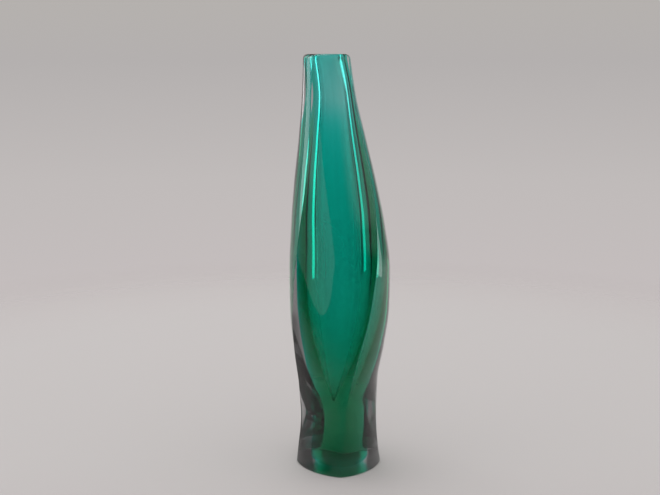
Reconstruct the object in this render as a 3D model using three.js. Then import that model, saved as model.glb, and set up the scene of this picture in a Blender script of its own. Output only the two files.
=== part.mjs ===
// A tall cased glass vase: a deep green inner vessel with a solid pointed plug, sealed in a
// thick smoky casing. The casing has four rounded sides that wind about a sixth of a turn up
// the body, from a sharp four-cornered foot to a slim rim.
// Millimetres, +Z up. The origin is the centre of the ground foot. One corner of the foot
// points to -Y, give or take the foot turn, and angles are counted from there towards +X.

import * as THREE from 'three';

// Overall
const height = 300;
const side_count = 4;

// Distance from the leaning centre line to the corners of the casing
const foot_radius = 31.3;
const waist_radius = 27.9;
const belly_radius = 40.4;
const rim_radius = 17.7;

// Where the front corner of the foot stands, how far the sides wind on from there, how far the
// front and back corners stand off the middle, and how far the centre line strays from straight
const foot_turn_deg = 0.5;
const full_twist_deg = 57.5;
const corner_skew = 2.7;
const belly_lean = 0.9;
const mouth_lean = 8.9;

// Edges of the casing
const corner_round = 1.6;
const foot_round = 0.8;
const rim_round = 3;

// The hollow, from the tip of its pointed floor to the mouth
const hollow_floor = 50;
const hollow_radius = 18.6;
const mouth_radius = 9.1;

// The green vessel round the hollow, and the solid plug under it
const body_wall = 7;
const lip_wall = 2.4;
const plug_radius = 13;
const plug_floor = 3;
const lip_round = 0.7;

// The two glasses are fused on the real vase; this hairline keeps them separate solids
const seam = 0.3;

// Facets
const side_points = 10;
const corner_points = 2;
const casing_rows = 40;
const vessel_rows = 24;
const plug_rows = 6;
const round_rows = 4;

// Stations up the casing, as shares of the height, and what it does at each of them.
// The corners stand at the waist radius, moved towards the foot, belly and rim radii.
const station_shares = [0, 0.04, 0.12, 0.2, 0.3, 0.4, 0.5, 0.6, 0.7, 0.8, 0.9, 1];
const foot_flare_shares = [1, 0.56, 0, 0, 0, 0, 0, 0, 0, 0, 0, 0];
const belly_swell_shares = [0, 0, 0, 0.13, 0.57, 0.92, 1, 0.865, 0.63, 0.345, 0.135, 0];
const neck_taper_shares = [0, 0, 0, 0, 0, 0, 0, 0.1, 0.3, 0.55, 0.83, 1];
// 0 is a flat side and 1 is an arc of the circle through the corners
const roundness_shares = [0.66, 0.52, 0.42, 0.5, 0.66, 0.65, 0.62, 0.61, 0.62, 0.63, 0.63, 0.64];
const skew_shares = [0.37, 0.74, 1, 0.15, 0, 0, 0, 0, 0, 0, 0, 0];
const twist_shares = [0, 0, 0.035, 0.2, 0.372, 0.525, 0.65, 0.77, 0.88, 0.917, 0.934, 1];
const belly_lean_shares = [0, -0.3, 0, -0.1, 0.55, 1, 0.8, 0.2, 0, 0, 0, 0];
const mouth_lean_shares = [0, 0, 0, 0, 0, 0, 0, 0.1, 0.3, 0.53, 0.8, 1];

// Stations up the hollow, as shares of its depth above the pointed floor
const hollow_station_shares = [0, 0.04, 0.1, 0.17, 0.26, 0.36, 0.45, 0.54, 0.65, 0.77, 0.89, 1];
const hollow_swell_shares = [0, 0.16, 0.41, 0.66, 0.87, 0.98, 1, 0.93, 0.73, 0.43, 0.16, 0];
const hollow_mouth_shares = [0, 0, 0, 0, 0, 0, 0, 0.06, 0.27, 0.57, 0.84, 1];
// The green wall starts as the plug at the floor of the hollow and thins towards the lip
const wall_plug_shares = [1, 0.74, 0.52, 0.4, 0.22, 0.05, 0, 0, 0, 0, 0, 0];
const wall_body_shares = [0, 0.26, 0.48, 0.6, 0.78, 0.95, 0.85, 0.74, 0.57, 0.39, 0.22, 0];
const wall_lip_shares = [0, 0, 0, 0, 0, 0, 0.15, 0.26, 0.43, 0.61, 0.78, 1];

const turn = 2 * Math.PI;
const quarter_turn = Math.PI / 2;
const side_angle = turn / side_count;

// The sum of a list of products, station by station.
function blend(terms) {
  return terms[0].shares.map((_, i) => terms.reduce((sum, term) => sum + term.size * term.shares[i], 0));
}

// A smooth curve through the stations that never overshoots them: cubic pieces whose slope at
// each station is the weighted harmonic mean of the slopes either side.
function smoothCurve(places, values) {
  const steps = places.slice(1).map((place, i) => place - places[i]);
  const slopes = steps.map((step, i) => (values[i + 1] - values[i]) / step);
  const tangents = values.map((_, i) => {
    if (i === 0) return slopes[0];
    if (i === values.length - 1) return slopes[i - 1];
    if (slopes[i - 1] * slopes[i] <= 0) return 0;
    const near = 2 * steps[i] + steps[i - 1];
    const far = steps[i] + 2 * steps[i - 1];
    return (near + far) / (near / slopes[i - 1] + far / slopes[i]);
  });
  return (place) => {
    let i = 0;
    while (i < steps.length - 1 && place > places[i + 1]) i += 1;
    const t = (place - places[i]) / steps[i];
    const rest = 1 - t;
    const ends = (1 + 2 * t) * rest * rest * values[i] + t * t * (3 - 2 * t) * values[i + 1];
    const pull = t * rest * rest * tangents[i] - t * t * rest * tangents[i + 1];
    return ends + pull * steps[i];
  };
}

const casing_heights = station_shares.map((share) => share * height);
const hollow_depth = height - hollow_floor;
const hollow_heights = hollow_station_shares.map((share) => hollow_floor + share * hollow_depth);

const cornerRadiusAt = smoothCurve(casing_heights, blend([
  { size: waist_radius, shares: station_shares.map(() => 1) },
  { size: foot_radius - waist_radius, shares: foot_flare_shares },
  { size: belly_radius - waist_radius, shares: belly_swell_shares },
  { size: rim_radius - waist_radius, shares: neck_taper_shares },
]));
const roundnessAt = smoothCurve(casing_heights, roundness_shares);
const twistAt = smoothCurve(casing_heights, blend([
  { size: THREE.MathUtils.degToRad(foot_turn_deg), shares: station_shares.map(() => 1) },
  { size: THREE.MathUtils.degToRad(full_twist_deg), shares: twist_shares },
]));
const skewAt = smoothCurve(casing_heights, blend([{ size: corner_skew, shares: skew_shares }]));
const leanAt = smoothCurve(casing_heights, blend([
  { size: belly_lean, shares: belly_lean_shares },
  { size: -mouth_lean, shares: mouth_lean_shares },
]));
const hollowRadiusAt = smoothCurve(hollow_heights, blend([
  { size: hollow_radius, shares: hollow_swell_shares },
  { size: mouth_radius, shares: hollow_mouth_shares },
]));
const wallAt = smoothCurve(hollow_heights, blend([
  { size: plug_radius, shares: wall_plug_shares },
  { size: body_wall, shares: wall_body_shares },
  { size: lip_wall, shares: wall_lip_shares },
]));

// A point at a distance from the centre line, at an angle from the front corner's direction.
function polar(angle, distance) {
  return new THREE.Vector2(Math.sin(angle) * distance, -Math.cos(angle) * distance);
}

function evenly(from, to, count) {
  return Array.from({ length: count }, (_, i) => from + ((to - from) * i) / (count - 1));
}

// The directions in which the points of every ring lie on its rounded sides and corners, with
// side_reach the half angle that a side's arc turns through.
function ringNormals(side_reach) {
  const corner_reach = side_angle / 2 - side_reach;
  const normals = [];
  for (let side = 0; side < side_count; side += 1) {
    const middle = (side + 1 / 2) * side_angle;
    const corner = (side + 1) * side_angle;
    evenly(middle - side_reach, middle + side_reach, side_points).forEach((angle) => {
      normals.push({ angle, middle });
    });
    evenly(corner - corner_reach, corner + corner_reach, corner_points + 2).slice(1, -1).forEach((angle) => {
      normals.push({ angle, corner });
    });
  }
  return normals;
}

// A four-sided ring: arcs between corners at a corner radius, all grown by the corner rounding,
// with the front and back corners moved sideways by the skew, and the side corners not.
function sidedRing(z, inset) {
  const reach = cornerRadiusAt(z) - inset;
  const core = reach - corner_round;
  const half_chord = core * Math.sin(side_angle / 2);
  const flat = core * Math.cos(side_angle / 2);
  const rise = roundnessAt(z) * (core - flat);
  const arc_radius = (half_chord * half_chord + rise * rise) / (2 * rise);
  const arc_centre = flat + rise - arc_radius;
  return ringNormals(Math.asin(half_chord / arc_radius)).map(({ angle, middle, corner }) => {
    const centre = corner === undefined ? polar(middle, arc_centre) : polar(corner, core);
    const distance = corner === undefined ? arc_radius + corner_round : corner_round;
    const point = centre.add(polar(angle, distance));
    point.x += skewAt(z) * (1 - (point.x / reach) ** 2);
    point.rotateAround(new THREE.Vector2(), twistAt(z));
    return new THREE.Vector3(point.x + leanAt(z), point.y, z);
  });
}

// A round ring with as many points as a sided one, at the same twist.
function roundRing(z, radius) {
  return ringNormals(side_angle / 2 - side_angle / (2 * (side_points + corner_points))).map(({ angle }) => {
    const point = polar(angle + twistAt(z), radius);
    return new THREE.Vector3(point.x + leanAt(z), point.y, z);
  });
}

// One closed skin through a list of rings, closed at both ends on the centre line.
function skin(rings, first_z, last_z) {
  const points = rings[0].length;
  const vertices = rings.flat();
  const first = vertices.length;
  const last = first + 1;
  vertices.push(new THREE.Vector3(leanAt(first_z), 0, first_z), new THREE.Vector3(leanAt(last_z), 0, last_z));
  const faces = [];
  for (let k = 0; k < points; k += 1) {
    const next = (k + 1) % points;
    faces.push(first, next, k);
    for (let row = 0; row < rings.length - 1; row += 1) {
      const a = row * points + k;
      const b = row * points + next;
      faces.push(a, b, b + points, a, b + points, a + points);
    }
    const end = (rings.length - 1) * points;
    faces.push(last, end + k, end + next);
  }
  const geometry = new THREE.BufferGeometry();
  geometry.setAttribute('position', new THREE.Float32BufferAttribute(vertices.flatMap((v) => v.toArray()), 3));
  geometry.setIndex(faces);
  geometry.computeVertexNormals();
  return geometry;
}

// Steps of a quarter round edge: how far each is drawn in from the side, and how far it is
// below the flat, going from the side to the flat.
function edgeSteps(radius) {
  return evenly(0, quarter_turn, round_rows).map((angle) => ({
    inset: radius * (1 - Math.cos(angle)),
    below: radius * (1 - Math.sin(angle)),
  }));
}

function hollowRadius(z) {
  return z <= hollow_floor ? 0 : hollowRadiusAt(z);
}

// The outside of the green vessel: the wall round the hollow, and below it the plug, whose
// lower end is rounded like a superellipse.
function vesselRadius(z) {
  if (z >= hollow_floor) return hollowRadiusAt(z) + wallAt(z);
  const drop = (hollow_floor - z) / (hollow_floor - plug_floor);
  return plug_radius * Math.pow(1 - Math.pow(drop, 5), 1 / 2);
}

// Heights that crowd towards the rounded lower end of the plug.
function plugHeights() {
  return evenly(0, quarter_turn, plug_rows + 1).slice(1).map((angle) => {
    return hollow_floor - (hollow_floor - plug_floor) * Math.cos(angle);
  });
}

function buildCasing() {
  const foot = edgeSteps(foot_round).reverse().map(({ inset, below }) => sidedRing(below, inset));
  const wall = evenly(foot_round, height - rim_round, casing_rows).slice(1, -1).map((z) => sidedRing(z, 0));
  const rim = edgeSteps(rim_round).map(({ inset, below }) => sidedRing(height - below, inset));
  const bore_wall = evenly(height, hollow_floor, vessel_rows).map((z) => roundRing(z, vesselRadius(z) + seam));
  const bore_plug = plugHeights().reverse().slice(1).map((z) => roundRing(z, vesselRadius(z) + seam));
  return skin([...foot, ...wall, ...rim, ...bore_wall, ...bore_plug], 0, plug_floor - seam);
}

function buildVessel() {
  const plug = plugHeights().slice(0, -1).map((z) => roundRing(z, vesselRadius(z)));
  const wall = evenly(hollow_floor, height - lip_round, vessel_rows).map((z) => roundRing(z, vesselRadius(z)));
  const outer_lip = edgeSteps(lip_round).slice(1).map(({ inset, below }) => {
    return roundRing(height - below, vesselRadius(height) - inset);
  });
  const inner_lip = edgeSteps(lip_round).reverse().map(({ inset, below }) => {
    return roundRing(height - below, mouth_radius + inset);
  });
  const inside = evenly(0, quarter_turn, vessel_rows).slice(1, -1).map((angle) => {
    const z = hollow_floor + (hollow_depth - lip_round) * Math.cos(angle);
    return roundRing(z, hollowRadius(z));
  });
  return skin([...plug, ...wall, ...outer_lip, ...inner_lip, ...inside], plug_floor, hollow_floor);
}

const smoke_glass = new THREE.MeshStandardMaterial({
  color: 0x4d4f4f,
  roughness: 0.05,
  metalness: 0,
  transparent: true,
  opacity: 0.45,
});
const green_glass = new THREE.MeshStandardMaterial({
  color: 0x078c70,
  roughness: 0.05,
  metalness: 0,
  transparent: true,
  opacity: 0.7,
});

function piece(name, geometry, material) {
  const mesh = new THREE.Mesh(geometry, material);
  mesh.name = name;
  return mesh;
}

const vase = new THREE.Group();
vase.name = 'vase';
vase.add(piece('smoke_casing', buildCasing(), smoke_glass));
vase.add(piece('green_vessel', buildVessel(), green_glass));

export default vase;
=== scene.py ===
"""The looks of a tall cased glass vase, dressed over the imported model.

Thick smoky glass stands round a deep green vessel, and its four sides wind from a sharp
four-cornered foot to a slim, rounded rim. Sizes are in millimetres until a mesh is made, and
then in metres. +Z is up, the origin is the centre of the ground foot, one corner of the foot
points to -Y, and angles are counted from there towards +X.
"""

import logging
import math
from dataclasses import dataclass
from enum import Enum

import bpy
import numpy as np
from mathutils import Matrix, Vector

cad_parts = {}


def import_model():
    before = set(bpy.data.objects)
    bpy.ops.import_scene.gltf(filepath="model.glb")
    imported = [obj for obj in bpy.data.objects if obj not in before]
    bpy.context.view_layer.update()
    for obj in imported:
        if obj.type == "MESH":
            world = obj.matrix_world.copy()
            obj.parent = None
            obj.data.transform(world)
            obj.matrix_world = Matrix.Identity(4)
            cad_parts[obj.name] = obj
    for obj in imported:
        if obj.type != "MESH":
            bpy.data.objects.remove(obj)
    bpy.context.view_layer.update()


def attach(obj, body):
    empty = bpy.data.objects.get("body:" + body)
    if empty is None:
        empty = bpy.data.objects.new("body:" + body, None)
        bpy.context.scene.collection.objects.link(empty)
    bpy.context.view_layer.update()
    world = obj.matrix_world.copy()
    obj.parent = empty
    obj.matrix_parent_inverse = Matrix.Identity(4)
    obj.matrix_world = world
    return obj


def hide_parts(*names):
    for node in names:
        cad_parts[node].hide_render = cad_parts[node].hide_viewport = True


LOG = logging.getLogger("vase")

MILLIMETRE = 0.001
TURN = 2 * math.pi
SIDE_COUNT = 4
SIDE_ANGLE = TURN / SIDE_COUNT
HALF_HEIGHT = 0.15

Row = tuple[float, ...]
Span = tuple[float, float]
Colour = tuple[float, float, float]
Socket = bpy.types.NodeSocket


@dataclass(frozen=True)
class Profile:
    """A smooth curve through stations up the vase, which it never overshoots."""

    places: Row
    values: Row

    def at(self, place: np.ndarray) -> np.ndarray:
        """Reads the curve.

        Each piece is the cubic that meets its two stations with a given slope at each. The slope
        at a station is the weighted harmonic mean of the straight slopes either side of it, and
        zero where those differ in sign.

        Args:
            place: Where to read it, in the units of the stations.

        Returns:
            The values there, in the shape of place.
        """
        places, values = np.array(self.places), np.array(self.values)
        steps = np.diff(places)
        slopes = np.diff(values) / steps
        tangents = np.concatenate([slopes[:1], np.zeros(len(slopes) - 1), slopes[-1:]])
        near = 2 * steps[1:] + steps[:-1]
        far = steps[1:] + 2 * steps[:-1]
        same = slopes[:-1] * slopes[1:] > 0
        before, after = np.where(same, slopes[:-1], 1), np.where(same, slopes[1:], 1)
        tangents[1:-1] = np.where(same, (near + far) / (near / before + far / after), 0)
        piece = np.clip(np.searchsorted(places, place, side="right") - 1, 0, len(steps) - 1)
        share = (place - places[piece]) / steps[piece]
        rest = 1 - share
        start = (1 + 2 * share) * rest**2 * values[piece]
        end = share**2 * (3 - 2 * share) * values[piece + 1]
        pull = share * rest**2 * tangents[piece] - share**2 * rest * tangents[piece + 1]
        return start + end + pull * steps[piece]


@dataclass(frozen=True)
class Grid:
    """How finely the rings and rows of the glass are divided."""

    side_points: int = 44
    corner_points: int = 8
    wall_rows: int = 190
    hollow_rows: int = 120
    plug_rows: int = 24
    edge_rows: int = 7
    rim_rows: int = 10
    crowding: float = 0.8

    def falling_shares(self) -> np.ndarray:
        """Shares of the hollow's depth, 1 at the lip and closer together below: 1 - s^crowding."""
        return 1 - np.linspace(0, 1, self.hollow_rows)[:-1] ** self.crowding


def polar(angle: np.ndarray, distance: np.ndarray) -> np.ndarray:
    """Points at a distance from the centre line, at an angle from -Y towards +X."""
    return np.stack([np.sin(angle) * distance, -np.cos(angle) * distance], axis=-1)


def edge_steps(radius: float, rows: int) -> tuple[np.ndarray, np.ndarray]:
    """Steps round a quarter-round edge, from the side to the flat.

    With the angle t from 0 to a quarter turn, the inset is radius times (1 - cos t) and the
    depth below the flat is radius times (1 - sin t).

    Args:
        radius: The radius of the edge.
        rows: How many steps.

    Returns:
        The insets from the side, and the depths below the flat.
    """
    angle = np.linspace(0, TURN / 4, rows)
    return radius * (1 - np.cos(angle)), radius * (1 - np.sin(angle))


@dataclass(frozen=True)
class VaseForm:
    """The form that both glasses share: the winding outside, the hollow and the green layer.

    The first rows are read at the stations of the outside, and the rows of the hollow and the
    layer at the hollow's stations. The twist is in degrees.
    """

    height: float = 300
    corner_round: float = 1.6
    stations: Row = (0, 12, 36, 60, 90, 120, 150, 180, 210, 240, 270, 300)
    corner_radius: Row = (31.3, 29.8, 27.9, 29.5, 35.0, 39.4, 40.4, 37.7, 32.7, 26.6, 21.1, 17.7)
    roundness: Row = (0.66, 0.52, 0.42, 0.5, 0.66, 0.65, 0.62, 0.61, 0.62, 0.63, 0.63, 0.64)
    skew: Row = (1.0, 2.0, 2.7, 0.4, 0, 0, 0, 0, 0, 0, 0, 0)
    twist: Row = (0.5, 0.5, 2.5, 12, 21.9, 30.7, 37.9, 44.8, 51.1, 53.2, 54.2, 58)
    lean: Row = (0, -0.3, 0, -0.1, 0.5, 0.9, 0.7, -0.7, -2.7, -4.7, -7.1, -8.9)
    hollow_stations: Row = (50, 58, 66, 76, 90, 106, 124, 151, 181, 211, 241, 271, 300)
    hollow_radius: Row = (0, 2.4, 4.8, 7.7, 11.5, 15.2, 18, 19.4, 19, 16.8, 13.4, 10.4, 9.1)
    hollow_shift: Row = (0, 0, 0, 0, 0, 0, 0, 0, 0.1, 0.5, 1.2, 2.4, 0)
    layer_wall: Row = (14.5, 11.9, 10.5, 9.2, 7.9, 6.7, 5.9, 5.2, 4.7, 4, 2.8, 1.1, 1.4)
    plug_floor: float = 0.4
    plug_power: int = 40

    def along_wall(self, values: Row, z: np.ndarray) -> np.ndarray:
        """Reads values that are given at the stations of the outside, at heights z."""
        return Profile(self.stations, values).at(z)

    def along_hollow(self, values: Row, z: np.ndarray) -> np.ndarray:
        """Reads values that are given at the hollow's stations, held below its floor."""
        return Profile(self.hollow_stations, values).at(np.maximum(z, self.hollow_stations[0]))

    def twist_at(self, z: np.ndarray) -> np.ndarray:
        """How far the rings at heights z are turned, in radians, as a column."""
        return np.radians(self.along_wall(self.twist, z))[:, None]

    def ring_normals(
        self, reach: np.ndarray, grid: Grid
    ) -> tuple[np.ndarray, np.ndarray, np.ndarray]:
        """The directions in which a ring's points lie on its rounded sides and corners.

        Args:
            reach: The half angle that a side's arc turns through, one for each ring.
            grid: How finely to divide it.

        Returns:
            The directions, ring by point, then for each point the direction of the side or corner
            that it belongs to, and whether that is a corner.
        """
        side_steps = np.linspace(-1, 1, grid.side_points)
        corner_steps = np.linspace(-1, 1, grid.corner_points + 2)[1:-1]
        directions, owners, corners = [], [], []
        for side in range(SIDE_COUNT):
            middle, corner = (side + 0.5) * SIDE_ANGLE, (side + 1) * SIDE_ANGLE
            directions.append(middle + reach[:, None] * side_steps)
            directions.append(corner + (SIDE_ANGLE / 2 - reach)[:, None] * corner_steps)
            owners += [middle] * grid.side_points + [corner] * grid.corner_points
            corners += [False] * grid.side_points + [True] * grid.corner_points
        return np.concatenate(directions, axis=1), np.array(owners), np.array(corners)

    def lift(self, plan: np.ndarray, z: np.ndarray) -> np.ndarray:
        """Turns plan points into rings at their heights, moved along X by the lean there.

        Args:
            plan: Points, ring by point by X and Y.
            z: The height of each ring.

        Returns:
            Points, ring by point by axis.
        """
        heights = np.broadcast_to(z[:, None], plan.shape[:2])
        leans = np.broadcast_to(self.along_wall(self.lean, z)[:, None], plan.shape[:2])
        return np.stack([plan[..., 0] + leans, plan[..., 1], heights], axis=-1)

    def sided_rings(self, z: np.ndarray, inset: np.ndarray, grid: Grid) -> np.ndarray:
        """Four-sided rings of the outside.

        A core square has its corners at the corner radius less the corner rounding. Each of its
        sides bulges to an arc whose rise is the roundness times the gap from the flat side to the
        circle through the corners. The whole is grown by the corner rounding. Then the front and
        back corners are moved along X by the skew, and every other point by the skew times
        1 - (x / corner radius)^2, and the ring is turned by the twist.

        Args:
            z: The height of each ring.
            inset: How far each ring is drawn in from the wall.
            grid: How finely to divide it.

        Returns:
            Points, ring by point by axis.
        """
        core = self.along_wall(self.corner_radius, z) - inset - self.corner_round
        half_chord, flat = core * math.sin(SIDE_ANGLE / 2), core * math.cos(SIDE_ANGLE / 2)
        rise = self.along_wall(self.roundness, z) * (core - flat)
        arc = (half_chord**2 + rise**2) / (2 * rise)
        directions, owners, corners = self.ring_normals(np.arcsin(half_chord / arc), grid)
        centres = np.where(corners, core[:, None], (flat + rise - arc)[:, None])
        reaches = np.where(corners, self.corner_round, (arc + self.corner_round)[:, None])
        plan = polar(owners, centres) + polar(directions, reaches)
        x, y = plan[..., 0], plan[..., 1]
        skew = self.along_wall(self.skew, z)[:, None]
        skewed = x + skew * (1 - (x / (core[:, None] + self.corner_round)) ** 2)
        twist = self.twist_at(z)
        across = skewed * np.cos(twist) - y * np.sin(twist)
        along = skewed * np.sin(twist) + y * np.cos(twist)
        return self.lift(np.stack([across, along], axis=-1), z)

    def round_rings(self, z: np.ndarray, radius: np.ndarray, grid: Grid) -> np.ndarray:
        """Round rings with as many points as the sided ones, at the same twist.

        In the neck they stand off the middle of the outside by the hollow's shift.

        Args:
            z: The height of each ring.
            radius: The radius of each ring.
            grid: How finely to divide it.

        Returns:
            Points, ring by point by axis.
        """
        points = SIDE_COUNT * (grid.side_points + grid.corner_points)
        step = TURN / points
        start = SIDE_ANGLE / 2 - step * (grid.side_points - 1) / 2
        angles = start + step * np.arange(points)
        distance = np.broadcast_to(radius[:, None], (len(z), points))
        plan = polar(angles + self.twist_at(z), distance)
        plan[..., 0] += self.along_hollow(self.hollow_shift, z)[:, None]
        return self.lift(plan, z)

    def hollow_at(self, z: np.ndarray) -> np.ndarray:
        """The radius of the hollow at heights z."""
        return self.along_hollow(self.hollow_radius, z)

    def layer_at(self, z: np.ndarray) -> np.ndarray:
        """The outer radius of the green glass.

        Above the floor of the hollow it is the hollow's radius and the wall. Below, it is the
        plug, a superellipse: the first wall times the root of 1 - s, where s is the share of the
        way down raised to the plug's power.

        Args:
            z: The heights.

        Returns:
            The radius at each.
        """
        floor = self.hollow_stations[0]
        above = self.hollow_at(z) + self.along_hollow(self.layer_wall, z)
        drop = np.clip((floor - z) / (floor - self.plug_floor), 0, 1)
        plug = self.layer_wall[0] * np.sqrt(1 - drop**self.plug_power)
        return np.where(z >= floor, above, plug)


def closed_skin(name: str, rings: np.ndarray) -> bpy.types.Object:
    """A closed, smooth mesh through rings, shut at both ends by a fan to the end ring's middle.

    Args:
        name: The name of the piece.
        rings: Points in millimetres, ring by point by axis, anticlockwise from above where the
            rings rise, so that the faces point outwards.

    Returns:
        The new object, at the origin and in metres.
    """
    rows, points, _ = rings.shape
    index = np.arange(rows * points).reshape(rows, points)
    ahead = np.roll(index, -1, axis=1)
    walls = np.stack([index[:-1], ahead[:-1], ahead[1:], index[1:]], axis=-1).reshape(-1, 4)
    first, last = rows * points, rows * points + 1
    floor = np.stack([np.full(points, first), ahead[0], index[0]], axis=-1)
    roof = np.stack([np.full(points, last), index[-1], ahead[-1]], axis=-1)
    middles = np.stack([rings[0].mean(0), rings[-1].mean(0)])
    vertices = np.concatenate([rings.reshape(-1, 3), middles])
    mesh = bpy.data.meshes.new(name)
    faces = walls.tolist() + floor.tolist() + roof.tolist()
    mesh.from_pydata((vertices * MILLIMETRE).tolist(), [], faces)
    mesh.polygons.foreach_set("use_smooth", np.ones(len(faces), dtype=bool))
    mesh.validate()
    piece = bpy.data.objects.new(name, mesh)
    bpy.context.scene.collection.objects.link(piece)
    return piece


class NodeBench:
    """A node tree, with short calls that add and join nodes."""

    def __init__(self, tree: bpy.types.NodeTree, output: str) -> None:
        """Empties a node tree.

        Args:
            tree: The tree of a material or of the world.
            output: The type name of its output node.
        """
        self.tree = tree
        self.tree.nodes.clear()
        self.output = self.add(output)

    def add(self, kind: str, **inputs: object) -> bpy.types.Node:
        """Adds a node.

        Args:
            kind: The node's type name.
            inputs: Values for its inputs, with spaces in their names written as underscores.

        Returns:
            The new node.
        """
        node = self.tree.nodes.new(kind)
        for key, value in inputs.items():
            node.inputs[key.replace("_", " ")].default_value = value
        return node

    def join(self, source: Socket, target: Socket) -> None:
        """Links an output to an input."""
        self.tree.links.new(source, target)

    def math(self, operation: str, first: Socket, second: Socket | float = 0.0) -> Socket:
        """Adds a Math node.

        Args:
            operation: What it does.
            first: The socket that feeds its first input.
            second: The socket or number for its second input.

        Returns:
            Its output.
        """
        node = self.tree.nodes.new("ShaderNodeMath")
        node.operation = operation
        self.join(first, node.inputs[0])
        if isinstance(second, (int, float)):
            node.inputs[1].default_value = second
        else:
            self.join(second, node.inputs[1])
        return node.outputs[0]

    def ramp(self, value: Socket, span: Span, ends: Span) -> Socket:
        """Maps a value smoothly from a span to two ends, and holds it outside the span.

        Args:
            value: The socket that gives the value.
            span: The two values between which the result changes.
            ends: The results at and beyond those two values.

        Returns:
            The result's socket.
        """
        node = self.add("ShaderNodeMapRange", From_Min=span[0], From_Max=span[1])
        node.inputs["To Min"].default_value, node.inputs["To Max"].default_value = ends
        node.interpolation_type = "SMOOTHSTEP"
        self.join(value, node.inputs["Value"])
        return node.outputs["Result"]

    def mix(self, share: Socket, first: Socket, second: Socket) -> Socket:
        """Mixes two shaders.

        Args:
            share: The socket of the second shader's share, from 0 to 1.
            first: The shader that shows where the share is 0.
            second: The shader that shows where the share is 1.

        Returns:
            The mixed shader's socket.
        """
        node = self.tree.nodes.new("ShaderNodeMixShader")
        for source, target in zip((share, first, second), node.inputs):
            self.join(source, target)
        return node.outputs[0]

    def absorb(self, tint: Colour, density: float) -> None:
        """Fills the inside with a glass that takes up light."""
        volume = self.add("ShaderNodeVolumeAbsorption", Color=(*tint, 1), Density=density)
        self.join(volume.outputs["Volume"], self.output.inputs["Volume"])


def new_material(name: str) -> tuple[bpy.types.Material, NodeBench]:
    """Makes an empty material.

    Args:
        name: Its name.

    Returns:
        The material, and the bench to fill it at.
    """
    material = bpy.data.materials.new(name)
    material.use_nodes = True
    return material, NodeBench(material.node_tree, "ShaderNodeOutputMaterial")


@dataclass(frozen=True)
class SmokeGlass:
    """Polished smoky glass: faint waves of hand work, a few rubs near the foot, a ground base.

    The heights are in metres. The rubs fade out over theirs, and the ground flat over its own.
    """

    tint: Colour = (0.57, 0.57, 0.58)
    density: float = 40.0
    index: float = 1.5
    wave_scale: float = 28.0
    wave_stretch: float = 0.35
    wave_depth: float = 0.00012
    rub_scale: float = 420.0
    rub_share: Span = (0.52, 0.7)
    rub_heights: Span = (0.002, 0.02)
    rubbed: float = 0.03
    ground_heights: Span = (0.0002, 0.0005)
    ground: float = 0.28

    def material(self) -> bpy.types.Material:
        """Makes the material: clear at its surface, with the smoke as absorption inside.

        Returns:
            The new material.
        """
        material, bench = new_material("casing_finish")
        glass = bench.add("ShaderNodeBsdfPrincipled", Base_Color=(1, 1, 1, 1), IOR=self.index)
        glass.inputs["Transmission Weight"].default_value = 1.0
        place = bench.add("ShaderNodeTexCoord").outputs["Object"]
        split = bench.add("ShaderNodeSeparateXYZ")
        bench.join(place, split.inputs[0])
        height = split.outputs["Z"]
        stretch = bench.add("ShaderNodeMapping", Scale=(1.0, 1.0, self.wave_stretch))
        bench.join(place, stretch.inputs["Vector"])
        wave = bench.add("ShaderNodeTexNoise", Scale=self.wave_scale, Detail=2.0, Roughness=0.4)
        bench.join(stretch.outputs["Vector"], wave.inputs["Vector"])
        bump = bench.add("ShaderNodeBump", Strength=1.0, Distance=self.wave_depth)
        bench.join(wave.outputs["Fac"], bump.inputs["Height"])
        bench.join(bump.outputs["Normal"], glass.inputs["Normal"])
        rubs = bench.add("ShaderNodeTexNoise", Scale=self.rub_scale, Detail=3.0, Roughness=0.6)
        bench.join(place, rubs.inputs["Vector"])
        wear = bench.ramp(rubs.outputs["Fac"], self.rub_share, (0.0, self.rubbed))
        handled = bench.math("MULTIPLY", wear, bench.ramp(height, self.rub_heights, (1.0, 0.0)))
        ground = bench.ramp(height, self.ground_heights, (self.ground, 0.0))
        bench.join(bench.math("MAXIMUM", handled, ground), glass.inputs["Roughness"])
        bench.join(glass.outputs["BSDF"], bench.output.inputs["Surface"])
        bench.absorb(self.tint, self.density)
        return material


@dataclass(frozen=True)
class GreenGlass:
    """Deep green glass, fused into the smoky glass, so that its surface bends no light."""

    tint: Colour = (0.1, 0.9635, 0.9205)
    density: float = 800.0

    def material(self) -> bpy.types.Material:
        """Makes the material: an open surface, with the green as absorption inside.

        Returns:
            The new material.
        """
        material, bench = new_material("green_finish")
        surface = bench.add("ShaderNodeBsdfTransparent", Color=(1, 1, 1, 1))
        bench.join(surface.outputs["BSDF"], bench.output.inputs["Surface"])
        bench.absorb(self.tint, self.density)
        return material


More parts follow.
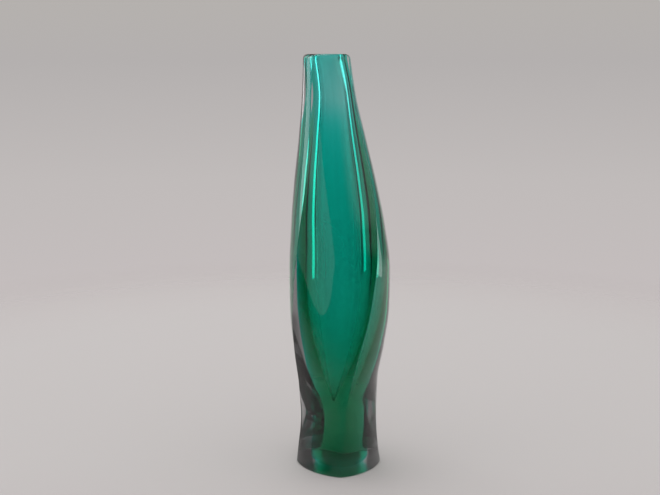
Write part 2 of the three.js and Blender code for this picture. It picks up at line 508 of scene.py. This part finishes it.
@dataclass(frozen=True)
class SmokeCasing:
    """The whole smoky body of the vase: its winding outside, foot, rim and hollow.

    It fills the space of the green glass too, which lies inside it.
    """

    form: VaseForm
    grid: Grid
    foot_round: float = 0.8
    rim_round: float = 3.0
    lip_round: float = 0.7

    def outside(self) -> np.ndarray:
        """Rings from the foot's flat up the wall and over the rim.

        Returns:
            Points, ring by point by axis.
        """
        inset, below = edge_steps(self.foot_round, self.grid.edge_rows)
        rim_inset, rim_below = edge_steps(self.rim_round, self.grid.rim_rows)
        top = self.form.height - self.rim_round
        wall = np.linspace(self.foot_round, top, self.grid.wall_rows)[1:-1]
        z = np.concatenate([below[::-1], wall, self.form.height - rim_below])
        insets = np.concatenate([inset[::-1], np.zeros(len(wall)), rim_inset])
        return self.form.sided_rings(z, insets, self.grid)

    def hollow(self) -> np.ndarray:
        """Rings from the inner edge of the lip down to the pointed floor of the hollow.

        The rows below the lip stand at the floor plus the depth times the falling shares.

        Returns:
            Points, ring by point by axis.
        """
        inset, below = edge_steps(self.lip_round, self.grid.edge_rows)
        floor = self.form.hollow_stations[0]
        depth = self.form.height - self.lip_round - floor
        deep = floor + depth * self.grid.falling_shares()[1:]
        z = np.concatenate([self.form.height - below[::-1], deep])
        lip = self.form.hollow_radius[-1] + inset[::-1]
        radius = np.concatenate([lip, self.form.hollow_at(deep)])
        return self.form.round_rings(z, radius, self.grid)

    def build(self, finish: SmokeGlass) -> bpy.types.Object:
        """Makes the piece and gives it its finish.

        Args:
            finish: The glass.

        Returns:
            The new piece.
        """
        piece = closed_skin("casing", np.concatenate([self.outside(), self.hollow()]))
        piece.data.materials.append(finish.material())
        return piece


@dataclass(frozen=True)
class GreenVessel:
    """The green glass: a solid plug, and above it a layer round the hollow up to the lip."""

    form: VaseForm
    grid: Grid
    lip_gap: float = 0.7
    hair: float = 0.05

    def build(self, finish: GreenGlass) -> bpy.types.Object:
        """Makes the piece and gives it its finish.

        Its outside rises from the foot of the plug to the lip, and its inside comes back down a
        hair behind the wall of the hollow.

        Args:
            finish: The glass.

        Returns:
            The new piece.
        """
        floor, top = self.form.hollow_stations[0], self.form.height - self.lip_gap
        turn = np.linspace(0, TURN / 4, self.grid.plug_rows)[1:-1]
        plug = floor - (floor - self.form.plug_floor) * np.cos(turn)
        wall = np.linspace(floor, top, self.grid.hollow_rows)
        inside = floor + (top - floor) * self.grid.falling_shares()
        rising = np.concatenate([plug, wall])
        outer = self.form.round_rings(rising, self.form.layer_at(rising), self.grid)
        inner = self.form.round_rings(inside, self.form.hollow_at(inside) + self.hair, self.grid)
        piece = closed_skin("green_layer", np.concatenate([outer, inner]))
        piece.data.materials.append(finish.material())
        return piece


class Sight(Enum):
    """What a lamp shines on: everything, or only the glass, which mirrors it."""

    EVERYTHING = "everything"
    GLASS = "glass"


class LampShape(Enum):
    """The outline of a lamp, under the name that Blender gives it."""

    RECTANGLE = "RECTANGLE"
    ELLIPSE = "ELLIPSE"

    def area(self, size: Span) -> float:
        """The area of a lamp of this shape that is size[0] wide and size[1] high."""
        return size[0] * size[1] * (math.pi / 4 if self is LampShape.ELLIPSE else 1)


@dataclass(frozen=True)
class SoftBox:
    """A flat studio lamp. It never shows to the camera itself.

    Its lengths are in metres, and the azimuth is in degrees from the camera's side towards +X. The
    radiance is what the lamp looks like in a mirror, where 1 is white. A tilted lamp points at the
    middle of the vase, and any other one straight across.
    """

    name: str
    azimuth: float
    distance: float
    bottom: float
    size: Span
    radiance: float
    sight: Sight = Sight.GLASS
    tilted: bool = False
    shape: LampShape = LampShape.RECTANGLE

    def place(self) -> None:
        """Hangs the lamp: its power is the radiance times pi times its area."""
        lamp = bpy.data.lights.new(self.name, "AREA")
        lamp.shape = self.shape.value
        lamp.size, lamp.size_y = self.size
        lamp.energy = self.radiance * math.pi * self.shape.area(self.size)
        holder = bpy.data.objects.new(self.name, lamp)
        angle = math.radians(self.azimuth)
        middle = self.bottom + self.size[1] / 2
        spot = Vector((self.distance * math.sin(angle), -self.distance * math.cos(angle), middle))
        aim = Vector((0, 0, HALF_HEIGHT if self.tilted else middle)) - spot
        holder.location = spot
        holder.rotation_euler = aim.to_track_quat("-Z", "Y").to_euler()
        holder.visible_camera = False
        holder.visible_diffuse = self.sight is Sight.EVERYTHING
        bpy.context.scene.collection.objects.link(holder)


@dataclass(frozen=True)
class Backdrop:
    """The pale surroundings: a backdrop that fades upwards, and even light for the floor.

    The stops give the height that a ray points to (the Z of its direction) and the colour that it
    sees there. Glass sees the same backdrop behind it, a darker room on the camera's side and
    overhead, a dark wing at the backdrop's +X end, above the floor, and a soft glow high on the
    left and right. The sides are the span of a ray's Y over which the room gives way to the
    backdrop, and each span named across or up is one of its X or Z.
    """

    stops: tuple[tuple[float, Colour], ...] = (
        (-0.4, (0.546, 0.509, 0.509)),
        (-0.24, (0.558, 0.515, 0.515)),
        (-0.12, (0.527, 0.497, 0.491)),
        (-0.006, (0.456, 0.434, 0.429)),
        (0.05, (0.462, 0.440, 0.423)),
        (0.4, (0.376, 0.360, 0.350)),
    )
    reach: float = 0.45
    ambient: float = 0.8
    sides: Span = (-0.1, 0.6)
    room: float = 0.08
    ceiling_up: Span = (0.25, 0.5)
    ceiling: float = 0.35
    wing_across: Span = (0.38, 0.56)
    wing_up: Span = (-0.2, -0.1)
    wing: float = 0.6
    glow_across: Span = (0.3, 0.75)
    glow_up: Span = (0.04, 0.26)
    glow: float = 2.5

    def colours(self, bench: NodeBench, up: Socket) -> Socket:
        """The backdrop's colours, read through the stops.

        Args:
            bench: The bench of the world.
            up: The Z of a ray's direction.

        Returns:
            The socket of the colour.
        """
        fade = bench.add("ShaderNodeValToRGB")
        place = bench.add("ShaderNodeMapRange", From_Min=-self.reach, From_Max=self.reach)
        bench.join(up, place.inputs["Value"])
        bench.join(place.outputs["Result"], fade.inputs["Fac"])
        elements = fade.color_ramp.elements
        while len(elements) < len(self.stops):
            elements.new(0.5)
        for element, (height, colour) in zip(elements, self.stops):
            element.position = (height / self.reach + 1) / 2
            element.color = (*colour, 1)
        return fade.outputs["Color"]

    def light_in_glass(self, bench: NodeBench, across: Socket, away: Socket, up: Socket) -> Socket:
        """How bright the backdrop is to glass, where 1 is as bright as to the camera.

        It is the room's share, times the ceiling's share, times 1 less the wing, plus the glow,
        which grows to both sides and upwards.

        Args:
            bench: The bench of the world.
            across: The X of a ray's direction.
            away: The Y of a ray's direction.
            up: The Z of a ray's direction.

        Returns:
            The socket of the brightness.
        """
        front = bench.ramp(away, self.sides, (self.room, 1.0))
        above = bench.ramp(up, self.ceiling_up, (1.0, self.ceiling))
        aside = bench.ramp(across, self.wing_across, (0.0, -self.wing))
        shade = bench.math("MULTIPLY", bench.ramp(up, self.wing_up, (0.0, 1.0)), aside)
        open_share = bench.math("MULTIPLY", above, bench.math("ADD", shade, 1.0))
        outward = bench.math("ABSOLUTE", across)
        outer = bench.ramp(outward, self.glow_across, (0.0, self.glow))
        high = bench.ramp(up, self.glow_up, (0.0, 1.0))
        plain = bench.math("MULTIPLY", front, open_share)
        return bench.math("ADD", plain, bench.math("MULTIPLY", outer, high))

    def build(self) -> None:
        """Fills the world: what each kind of ray sees depends only on its direction."""
        world = bpy.data.worlds.new("surroundings")
        world.use_nodes = True
        bpy.context.scene.world = world
        bench = NodeBench(world.node_tree, "ShaderNodeOutputWorld")
        split = bench.add("ShaderNodeSeparateXYZ")
        bench.join(bench.add("ShaderNodeTexCoord").outputs["Generated"], split.inputs[0])
        across, away, up = split.outputs
        colours = self.colours(bench, up)
        wall = bench.add("ShaderNodeBackground")
        bench.join(colours, wall.inputs["Color"])
        mirrored = bench.add("ShaderNodeBackground")
        bench.join(colours, mirrored.inputs["Color"])
        bench.join(self.light_in_glass(bench, across, away, up), mirrored.inputs["Strength"])
        even = bench.add("ShaderNodeBackground", Color=(1, 1, 1, 1), Strength=self.ambient)
        rays = bench.add("ShaderNodeLightPath")
        seen = bench.mix(rays.outputs["Is Camera Ray"], mirrored.outputs[0], wall.outputs[0])
        lit = bench.mix(rays.outputs["Is Diffuse Ray"], seen, even.outputs[0])
        bench.join(lit, bench.output.inputs["Surface"])


@dataclass(frozen=True)
class Floor:
    """A pale, matt floor that melts into the backdrop away from the vase.

    Its lengths are in metres.
    """

    colour: Colour = (0.60, 0.572, 0.567)
    solid: float = 0.42
    front: Span = (-0.22, 0.02)
    radius: float = 0.8
    margin: float = 0.02
    drop: float = 0.0001
    spokes: int = 96
    rings: int = 8

    def build(self) -> bpy.types.Object:
        """Makes the floor: rings of points round the origin, just under the foot.

        Returns:
            The new floor.
        """
        angles = np.linspace(0, TURN, self.spokes + 1)[:-1]
        radii = np.linspace(0, self.radius, self.rings + 1)[1:]
        plan = polar(*np.broadcast_arrays(angles, radii[:, None]))
        points = np.concatenate([np.zeros((1, 2)), plan.reshape(-1, 2)])
        index = 1 + np.arange(plan.shape[0] * self.spokes).reshape(-1, self.spokes)
        ahead = np.roll(index, -1, axis=1)
        middle = np.stack([np.zeros(self.spokes, int), index[0], ahead[0]], axis=-1)
        rest = np.stack([index[:-1], index[1:], ahead[1:], ahead[:-1]], axis=-1).reshape(-1, 4)
        mesh = bpy.data.meshes.new("floor")
        heights = np.full((len(points), 1), -self.drop)
        vertices = np.concatenate([points, heights], axis=1)
        mesh.from_pydata(vertices.tolist(), [], middle.tolist() + rest.tolist())
        floor = bpy.data.objects.new("floor", mesh)
        bpy.context.scene.collection.objects.link(floor)
        mesh.materials.append(self.paper())
        return floor

    def paper(self) -> bpy.types.Material:
        """Makes the floor's matt paper, which thins to nothing all round, and sooner in front.

        Returns:
            The new material.
        """
        material, bench = new_material("paper")
        paper = bench.add("ShaderNodeBsdfDiffuse", Color=(*self.colour, 1))
        clear = bench.add("ShaderNodeBsdfTransparent")
        length = bench.add("ShaderNodeVectorMath")
        length.operation = "LENGTH"
        split = bench.add("ShaderNodeSeparateXYZ")
        place = bench.add("ShaderNodeTexCoord").outputs["Object"]
        for target in (length, split):
            bench.join(place, target.inputs[0])
        span = (self.solid, self.radius - self.margin)
        around = bench.ramp(length.outputs["Value"], span, (0.0, 1.0))
        ahead = bench.ramp(split.outputs["Y"], self.front, (1.0, 0.0))
        thin = bench.math("MAXIMUM", around, ahead)
        surface = bench.mix(thin, paper.outputs[0], clear.outputs[0])
        bench.join(surface, bench.output.inputs["Surface"])
        return material


@dataclass(frozen=True)
class Viewpoint:
    """The camera: level with the rim, looking a little down at the middle of the vase."""

    position: tuple[float, float, float] = (-0.00637, -0.715, 0.3)
    pitch: float = -10.84
    lens: float = 55.13
    sensor: float = 36.0
    farthest: float = 50

    def place(self) -> None:
        """Sets the scene's camera."""
        data = bpy.data.cameras.new("camera")
        data.sensor_width = self.sensor
        data.lens = self.lens
        data.clip_end = self.farthest
        camera = bpy.data.objects.new("camera", data)
        camera.location = self.position
        camera.rotation_euler = (math.radians(90 + self.pitch), 0, 0)
        bpy.context.scene.collection.objects.link(camera)
        bpy.context.scene.camera = camera


@dataclass(frozen=True)
class Studio:
    """The floor, the surroundings, the lamps and the camera."""

    bounces: int = 24
    floor: Floor = Floor()
    backdrop: Backdrop = Backdrop()
    viewpoint: Viewpoint = Viewpoint()
    lamps: tuple[SoftBox, ...] = (
        SoftBox("strip_left", -112, 0.5, 0.003, (0.15, 0.62), 1.7),
        SoftBox("strip_right", 114, 0.5, 0.025, (0.15, 0.62), 1.2),
        SoftBox("window", -38, 0.36, 0.003, (0.4, 0.37), 0.45, shape=LampShape.ELLIPSE),
        SoftBox("overhead", -150, 0.5, 1.2, (0.9, 0.9), 2.0, Sight.EVERYTHING, True),
    )

    def build(self) -> None:
        """Sets up the studio and the few settings that glass needs."""
        self.viewpoint.place()
        self.backdrop.build()
        self.floor.build()
        for lamp in self.lamps:
            lamp.place()
        scene = bpy.context.scene
        scene.view_settings.view_transform = "Standard"
        scene.cycles.max_bounces = self.bounces
        scene.cycles.transmission_bounces = self.bounces
        scene.cycles.transparent_max_bounces = self.bounces


def dress(piece: bpy.types.Object, node: str) -> None:
    """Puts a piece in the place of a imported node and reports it.

    Args:
        piece: The new piece.
        node: The node that it stands for.
    """
    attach(piece, "root")
    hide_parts(node)
    LOG.info("%s stands for %s with %d faces", piece.name, node, len(piece.data.polygons))


def main() -> None:
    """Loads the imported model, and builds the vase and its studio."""
    logging.basicConfig(level=logging.INFO, format="%(name)s: %(message)s")
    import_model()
    form, grid = VaseForm(), Grid()
    dress(SmokeCasing(form, grid).build(SmokeGlass()), "smoke_casing")
    dress(GreenVessel(form, grid).build(GreenGlass()), "green_vessel")
    Studio().build()


if __name__ == "__main__":
    main()
